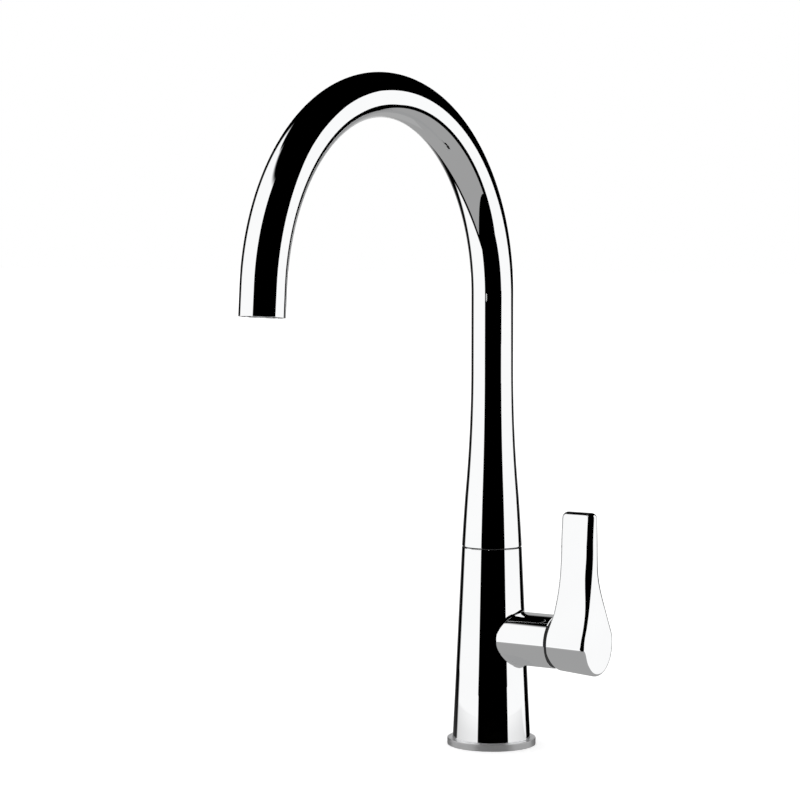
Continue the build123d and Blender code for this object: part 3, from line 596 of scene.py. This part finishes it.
def between(value, knots):
    """Value read from a list of (place, level) pairs, with smooth steps between them."""
    if value <= knots[0][0]:
        return knots[0][1]
    for (low, from_level), (high, to_level) in zip(knots, knots[1:]):
        if value <= high:
            part = (value - low) / (high - low)
            return from_level + (to_level - from_level) * part * part * (3 - 2 * part)
    return knots[-1][1]


# How far round the outline: -1 at the foot's bottom, 0 beside the axis, then the height above it
OUTER_ROUND = [(-1.0, 1.8), (-0.7, 2.5), (-0.3, 3.1), (6.0, 2.8), (16.0, 2.9), (42.0, 5.3), (64.0, 4.7)]
INNER_ROUND = [(6.0, 0.25), (20.0, 2.8)]


def outline_place(step, along):
    """Point on the lever's outline, its outward direction and its depth to the middle."""
    radius = foot_radius(along)
    flank = (BLADE_HALF**2 + FLANK_TOP**2 - radius**2) / (2 * (radius - BLADE_HALF))
    tangent = math.atan2(FLANK_TOP, BLADE_HALF + flank)
    if step < 1:
        turn = -math.pi / 2 + step * (math.pi / 2 + tangent)
        out = (math.cos(turn), math.sin(turn))
        return (radius * out[0], radius * out[1]), out, radius
    if step < 2:
        turn = tangent * (2 - step)
        out = (math.cos(turn), math.sin(turn))
        place = (BLADE_HALF + flank * (1 - out[0]), FLANK_TOP - flank * out[1])
        return place, out, place[0] / out[0]
    straight_top = LEVER_TOP - TIP_ROUND
    if step < 3:
        half = BLADE_HALF - BLADE_TAPER * (step - 2) ** TAPER_POWER
        return (half, FLANK_TOP + (step - 2) * (straight_top - FLANK_TOP)), (1, 0), half
    turn = (step - 3) * math.pi / 2
    half = (BLADE_HALF - BLADE_TAPER) * max(0.0, math.cos(turn))
    return (half, straight_top + TIP_ROUND * math.sin(turn)), (1, 0), half


def lever_point(step, part, share):
    """Point of the lever's skin: part 0 end face, 1 outer round, 2 flank, 3 inner round, 4 inner face."""
    along = (LEVER_START + LEVER_END) / 2
    for _ in range(4):
        place, out, depth = outline_place(step, along)
        level = place[1] if place[1] > 0 else place[1] / foot_radius(along)
        wide = between(level, OUTER_ROUND)
        deep = min(wide, OUTER_SHARE * depth)
        inner = min(between(level, INNER_ROUND), INNER_SHARE * depth)
        turn = share * math.pi / 2
        inset = (
            depth + (deep - depth) * share,
            deep * (1 - math.sin(turn)),
            0.0,
            inner * (1 - math.cos(turn)),
            inner + (depth - inner) * share,
        )[part]
        height = place[1] - out[1] * inset
        start, end = lever_start(height), lever_end(height)
        along = (
            end,
            end - wide * (1 - math.cos(turn)),
            end - wide + (start + inner - end + wide) * share,
            start + inner * (1 - math.sin(turn)),
            start,
        )[part]
    return along, place[0] - out[0] * inset, AXIS_HEIGHT + height


JOIN_WITHIN = 0.002


def lever_skin():
    """Closed skin of the lever, before its pocket and holes are cut."""
    steps = [n / 64 for n in range(64)] + [1 + n / 44 for n in range(44)]
    steps += [2 + n / 12 for n in range(12)] + [3 + n / 14 for n in range(15)]
    rows = [(part, n / count) for part, count in enumerate((12, 24, 12, 8)) for n in range(count)]
    rows += [(4, n / 8) for n in range(9)]
    build = bmesh.new()
    for side in (1, -1):
        grid = []
        for step in steps:
            points = [lever_point(step, *row) for row in rows]
            grid.append([build.verts.new((x, side * y, z)) for x, y, z in points])
        for here, there in zip(grid, grid[1:]):
            for n in range(len(rows) - 1):
                build.faces.new((here[n], here[n + 1], there[n + 1], there[n]))
    bmesh.ops.remove_doubles(build, verts=build.verts, dist=JOIN_WITHIN)
    bmesh.ops.dissolve_degenerate(build, edges=build.edges, dist=JOIN_WITHIN / 2)
    bmesh.ops.recalc_face_normals(build, faces=build.faces)
    return build


def turned(profile, count, axis):
    """Closed solid turned about an axis through the origin from (along, radius) pairs."""
    build = bmesh.new()
    rings = []
    for along, radius in profile:
        ring = []
        for n in range(count):
            turn = 2 * math.pi * n / count
            across, up = radius * math.cos(turn), radius * math.sin(turn)
            ring.append(build.verts.new((along, across, up) if axis == "x" else (across, up, along)))
        rings.append(ring)
    for here, there in zip(rings, rings[1:]):
        for n in range(count):
            build.faces.new((here[n - 1], here[n], there[n], there[n - 1]))
    for ring in (rings[0], rings[-1]):
        build.faces.new(ring)
    bmesh.ops.remove_doubles(build, verts=build.verts, dist=0.0005)
    bmesh.ops.recalc_face_normals(build, faces=build.faces)
    return build


def put_in_place(build, name, sharp_over):
    """Object from a bmesh in millimetres, smooth but for its corners."""
    bmesh.ops.scale(build, vec=(MM, MM, MM), verts=build.verts)
    mesh = bpy.data.meshes.new(name)
    build.to_mesh(mesh)
    build.free()
    mesh.shade_smooth()
    mesh.set_sharp_from_angle(angle=math.radians(sharp_over))
    obj = bpy.data.objects.new(name, mesh)
    bpy.context.scene.collection.objects.link(obj)
    return obj


def carve(obj, build, sharp_over):
    """Cut a solid in millimetres out of an object."""
    cutter = put_in_place(build, "cutter", sharp_over)
    cut = obj.modifiers.new("carve", "BOOLEAN")
    cut.operation = "DIFFERENCE"
    cut.solver = "EXACT"
    cut.object = cutter
    whole = obj.evaluated_get(bpy.context.evaluated_depsgraph_get())
    mesh = bpy.data.meshes.new_from_object(whole)
    obj.modifiers.clear()
    obj.data = mesh
    bpy.data.objects.remove(cutter)
    mesh.shade_smooth()
    mesh.set_sharp_from_angle(angle=math.radians(sharp_over))


SKIN_GAP = 2e-6
SAME_WAY = 0.97
TOWARD_CENTRE = 0.02


def keep_skin_normals(obj, skin):
    """Shade a carved piece with the uncut skin's own normals wherever that skin is left."""
    skin.calc_loop_triangles()
    corners = [corner.vector.copy() for corner in skin.corner_normals]
    places = [vertex.co.copy() for vertex in skin.vertices]
    triangles = [(tuple(part.vertices), tuple(part.loops)) for part in skin.loop_triangles]
    tree = BVHTree.FromPolygons(places, [vertices for vertices, _ in triangles])
    mesh = obj.data
    normals = [corner.vector.copy() for corner in mesh.corner_normals]
    for face in mesh.polygons:
        _, flat, _, gap = tree.find_nearest(face.center)
        if gap > SKIN_GAP or flat.dot(face.normal) < SAME_WAY:
            continue
        for loop in face.loop_indices:
            place = mesh.vertices[mesh.loops[loop].vertex_index].co
            near, _, index, _ = tree.find_nearest(place.lerp(face.center, TOWARD_CENTRE))
            vertices, loops = triangles[index]
            weights = poly_3d_calc([places[vertex] for vertex in vertices], near)
            parts = [corners[corner] * weight for corner, weight in zip(loops, weights)]
            normals[loop] = sum(parts, Vector()).normalized()
    mesh.normals_split_custom_set(normals)


def moved(build, place):
    """The same bmesh, shifted to a place."""
    bmesh.ops.translate(build, verts=build.verts, vec=place)
    return build


def block(low, high):
    """Box between two opposite corners."""
    build = bmesh.new()
    bmesh.ops.create_cube(build, size=1.0)
    size = [b - a for a, b in zip(low, high)]
    bmesh.ops.scale(build, vec=size, verts=build.verts)
    return moved(build, [(a + b) / 2 for a, b in zip(low, high)])


CUT_START = 44
HUB_START = 49.4
HUB_RADIUS = 5.8
POCKET_END = 58.0
POCKET_RADIUS = 13.9
SPINDLE_HOLE = (49.0, 56.65)
SPINDLE_HOLE_HALF = 3.55
SCREW_PLACE = 54.0
SCREW_RADIUS = 2.0
CAP_RADIUS = 2.3
SCREW_HOLE = (-20, -1)
KEEP_SHARP_OVER = 12


def lever():
    """Lever with its pocket over the dome, the hub round the spindle and the screw hole under it."""
    obj = put_in_place(lever_skin(), "lever", KEEP_SHARP_OVER)
    skin = obj.data
    pocket = [
        (CUT_START, 0), (HUB_START, 0), (HUB_START, HUB_RADIUS), (POCKET_END, HUB_RADIUS),
        (POCKET_END, POCKET_RADIUS), (CUT_START, POCKET_RADIUS), (CUT_START, 0),
    ]
    carve(obj, moved(turned(pocket, 128, "x"), (0, 0, AXIS_HEIGHT)), KEEP_SHARP_OVER)
    (start, end), half = SPINDLE_HOLE, SPINDLE_HOLE_HALF
    hole = block((start, -half, AXIS_HEIGHT - half), (end, half, AXIS_HEIGHT + half))
    carve(obj, hole, KEEP_SHARP_OVER)
    bottom, top = SCREW_HOLE
    screw_hole = [
        (bottom, 0), (bottom, CAP_RADIUS), (-HUB_RADIUS, CAP_RADIUS), (-HUB_RADIUS, SCREW_RADIUS),
        (top, SCREW_RADIUS), (top, 0),
    ]
    carve(obj, moved(turned(screw_hole, 48, "z"), (SCREW_PLACE, 0, AXIS_HEIGHT)), KEEP_SHARP_OVER)
    keep_skin_normals(obj, skin)
    finish_piece(obj, "lever_handle", "lever", "polished_chrome")
    # The photo shows no mirror image of the lever in the barrel and the column
    obj.visible_glossy = False


SPOUT_START = 117.3
NECK_TOP = 222.0
NECK_MIDDLE = 152.0
NECK_UPPER_CURVE = 818.17
NECK_MIDDLE_RADIUS = 15
NECK_SLOPE = 0.08587
NECK_CURVE = 0.000315
BEND_START = 264.3
BEND_RADIUS = 110.8
BEND_ANGLE = 175.6
OUTLET_RUN = 16.4
TUBE_RADIUS = 12.25
TUBE_BORE = 10.75
# The CAD tube's radius, which the photo's is a little over; the neck widens to it over its foot
PLAIN_RADIUS = 12
WIDENS_OVER = 30
SPIGOT_SEAT = (14.0, 12.8)
JOINT_RADIUS = 17.35
JOINT_BEVEL = 0.25
LIP_ROUND = 0.3
LIP_RUNS = (12, 8, 4, 0.6, 0.35)


def neck_radius(height):
    """Trumpet flank of the spout's neck, with the tube's full width added above the joint."""
    wider = (TUBE_RADIUS - PLAIN_RADIUS) * min(1.0, (height - SPOUT_START) / WIDENS_OVER)
    if height > NECK_MIDDLE:
        upper = NECK_UPPER_CURVE
        return PLAIN_RADIUS + wider + upper - math.sqrt(upper**2 - (NECK_TOP - height) ** 2)
    drop = NECK_MIDDLE - height
    return NECK_MIDDLE_RADIUS + wider + NECK_SLOPE * drop - NECK_CURVE * drop**2


def spout_place(run):
    """Centre of the spout and its bend's outward direction, at a length from the neck's top."""
    riser = BEND_START - NECK_TOP
    sweep = BEND_RADIUS * math.radians(BEND_ANGLE)
    turn = min(max(run - riser, 0.0), sweep) / BEND_RADIUS
    out = Vector((0, math.cos(turn), math.sin(turn)))
    along = Vector((0, -math.sin(turn), math.cos(turn)))
    centre = Vector((0, -BEND_RADIUS, BEND_START)) + BEND_RADIUS * out
    return centre + along * (min(run - riser, 0.0) + max(run - riser - sweep, 0.0)), out


def skin_of_rings(rings):
    """Closed skin over rings of points, the last of which is joined to the first."""
    build = bmesh.new()
    made = [[build.verts.new(point) for point in ring] for ring in rings]
    for here, there in zip(made, made[1:] + made[:1]):
        for n in range(len(here)):
            build.faces.new((here[n - 1], here[n], there[n], there[n - 1]))
    bmesh.ops.recalc_face_normals(build, faces=build.faces)
    return build


def round_ring(centre, out, radius, count):
    turns = [2 * math.pi * n / count for n in range(count)]
    side = Vector((1, 0, 0))
    return [centre + radius * (math.cos(turn) * side + math.sin(turn) * out) for turn in turns]


def finish_piece(obj, node, body, slot):
    """Give a piece made here its slot's material, and let it stand for its CAD node."""
    obj.data.materials.clear()
    obj.data.materials.append(slot_materials[slot])
    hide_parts(node)
    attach(obj, body)


def spout():
    """Hollow spout: neck, riser, bend and outlet as one smooth skin."""
    count = 88
    back = Vector((0, 1, 0))
    rings = []

    def level_ring(height, radius):
        rings.append(round_ring(Vector((0, 0, height)), back, radius, count))

    def run_ring(run, radius):
        rings.append(round_ring(*spout_place(run), radius, count))

    level_ring(SPOUT_START, JOINT_RADIUS)
    level_ring(SPOUT_START + JOINT_BEVEL, neck_radius(SPOUT_START + JOINT_BEVEL))
    for n in range(1, 52):
        height = SPOUT_START + JOINT_BEVEL + (NECK_TOP - SPOUT_START - JOINT_BEVEL) * n / 52
        level_ring(height, neck_radius(height))
    riser = BEND_START - NECK_TOP
    sweep = BEND_RADIUS * math.radians(BEND_ANGLE)
    outside = [riser * n / 10 for n in range(10)] + [riser + sweep * n / 96 for n in range(97)]
    end = riser + sweep + OUTLET_RUN
    outside += [end - short for short in LIP_RUNS]
    for run in outside:
        run_ring(run, TUBE_RADIUS)
    for n in range(7):
        turn = math.radians(15 * n)
        run = end - LIP_ROUND + LIP_ROUND * math.sin(turn)
        run_ring(run, TUBE_RADIUS - LIP_ROUND + LIP_ROUND * math.cos(turn))
    run_ring(end, TUBE_BORE)
    inside = [end - 1] + [riser + sweep * n / 48 for n in range(48, -1, -1)] + [0.0]
    for run in inside:
        run_ring(run, TUBE_BORE)
    seat_height, seat_radius = SPIGOT_SEAT
    level_ring(SPOUT_START + seat_height, TUBE_BORE)
    level_ring(SPOUT_START + seat_height, seat_radius)
    level_ring(SPOUT_START, seat_radius)
    obj = put_in_place(skin_of_rings(rings), "spout", 25)
    finish_piece(obj, "spout_tube", "spout", "polished_chrome")


SHANK_RADIUS = 16.5
SHANK_BORE = 14.0
SHANK_BOTTOM = -58.0
SHANK_TOP = 14.0
THREAD_TOP = 3.0
THREAD_PITCH = 2.0
THREAD_DEPTH = 1.1
THREAD_ROWS = 8
THREAD_CREST = 0.08
THREAD_FLANK = 0.3
SHANK_BEVEL = 1.2


def thread_depth(share):
    """Depth of the thread at a share of its pitch, from a flat crest over two flanks to a flat root."""
    return THREAD_DEPTH * min(1.0, max(0.0, (0.5 - abs(share - 0.5) - THREAD_CREST) / THREAD_FLANK))


def shank():
    """Brass shank with a rolled thread up to the body, and a chamfered end."""
    count = 60
    step = THREAD_PITCH / THREAD_ROWS
    rows = round((THREAD_TOP - SHANK_BOTTOM) / step)
    turns = [2 * math.pi * n / count for n in range(count)]
    rings = []
    for row in range(rows + 1):
        height = SHANK_BOTTOM + row * step
        ring = []
        for n, turn in enumerate(turns):
            share = (row / THREAD_ROWS - n / count) % 1.0
            fade = min(1.0, (THREAD_TOP - height) / THREAD_PITCH)
            radius = SHANK_RADIUS - thread_depth(share) * fade
            radius = min(radius, SHANK_RADIUS - SHANK_BEVEL + height - SHANK_BOTTOM)
            ring.append((radius * math.cos(turn), radius * math.sin(turn), height))
        rings.append(ring)
    for height, radius in ((SHANK_TOP, SHANK_RADIUS), (SHANK_TOP, SHANK_BORE), (SHANK_BOTTOM, SHANK_BORE)):
        rings.append([(radius * math.cos(turn), radius * math.sin(turn), height) for turn in turns])
    obj = put_in_place(skin_of_rings(rings), "shank", 40)
    finish_piece(obj, "threaded_shank", "base", "brass")


BARREL_RADIUS = 15.55
# Height and radius of the cone at its two ends
COLUMN_FOOT = (4.0, 22.8)
COLUMN_TOP = (116.6, 17.6)
ON_SURFACE = 0.03
ALIGNED = 0.98


def true_normal(place, plain):
    """Exact direction out of the column's cone or the barrel's side, or the plain one elsewhere."""
    x, y, z = (part / MM for part in place)
    (low, wide), (high, narrow) = COLUMN_FOOT, COLUMN_TOP
    taper = (wide - narrow) / (high - low)
    from_axis = math.hypot(x, y)
    cone = Vector((x, y, taper * from_axis)).normalized()
    if abs(from_axis - wide + taper * (z - low)) < ON_SURFACE and cone.dot(plain) > ALIGNED:
        return cone
    side = Vector((0, y, z - AXIS_HEIGHT))
    on_barrel = x > 0 and abs(side.length - BARREL_RADIUS) < ON_SURFACE
    if on_barrel and side.normalized().dot(plain) > ALIGNED:
        return side.normalized()
    return plain


def column():
    """Lower column as modelled, shaded with the exact directions of its cone and barrel."""
    plain = nodes["lower_body"]
    mesh = plain.data.copy()
    obj = bpy.data.objects.new("column", mesh)
    bpy.context.scene.collection.objects.link(obj)
    corners = zip(mesh.loops, [corner.vector.copy() for corner in mesh.corner_normals])
    mesh.normals_split_custom_set(
        [true_normal(mesh.vertices[loop.vertex_index].co, normal) for loop, normal in corners]
    )
    finish_piece(obj, "lower_body", "base", "polished_chrome")


lever()
spout()
shank()
column()

bpy.context.scene.view_settings.view_transform = "Standard"
photo_camera()
white_world()
floor()
tent()
ground()
right_board()
back_card()
foot_screen()
table()
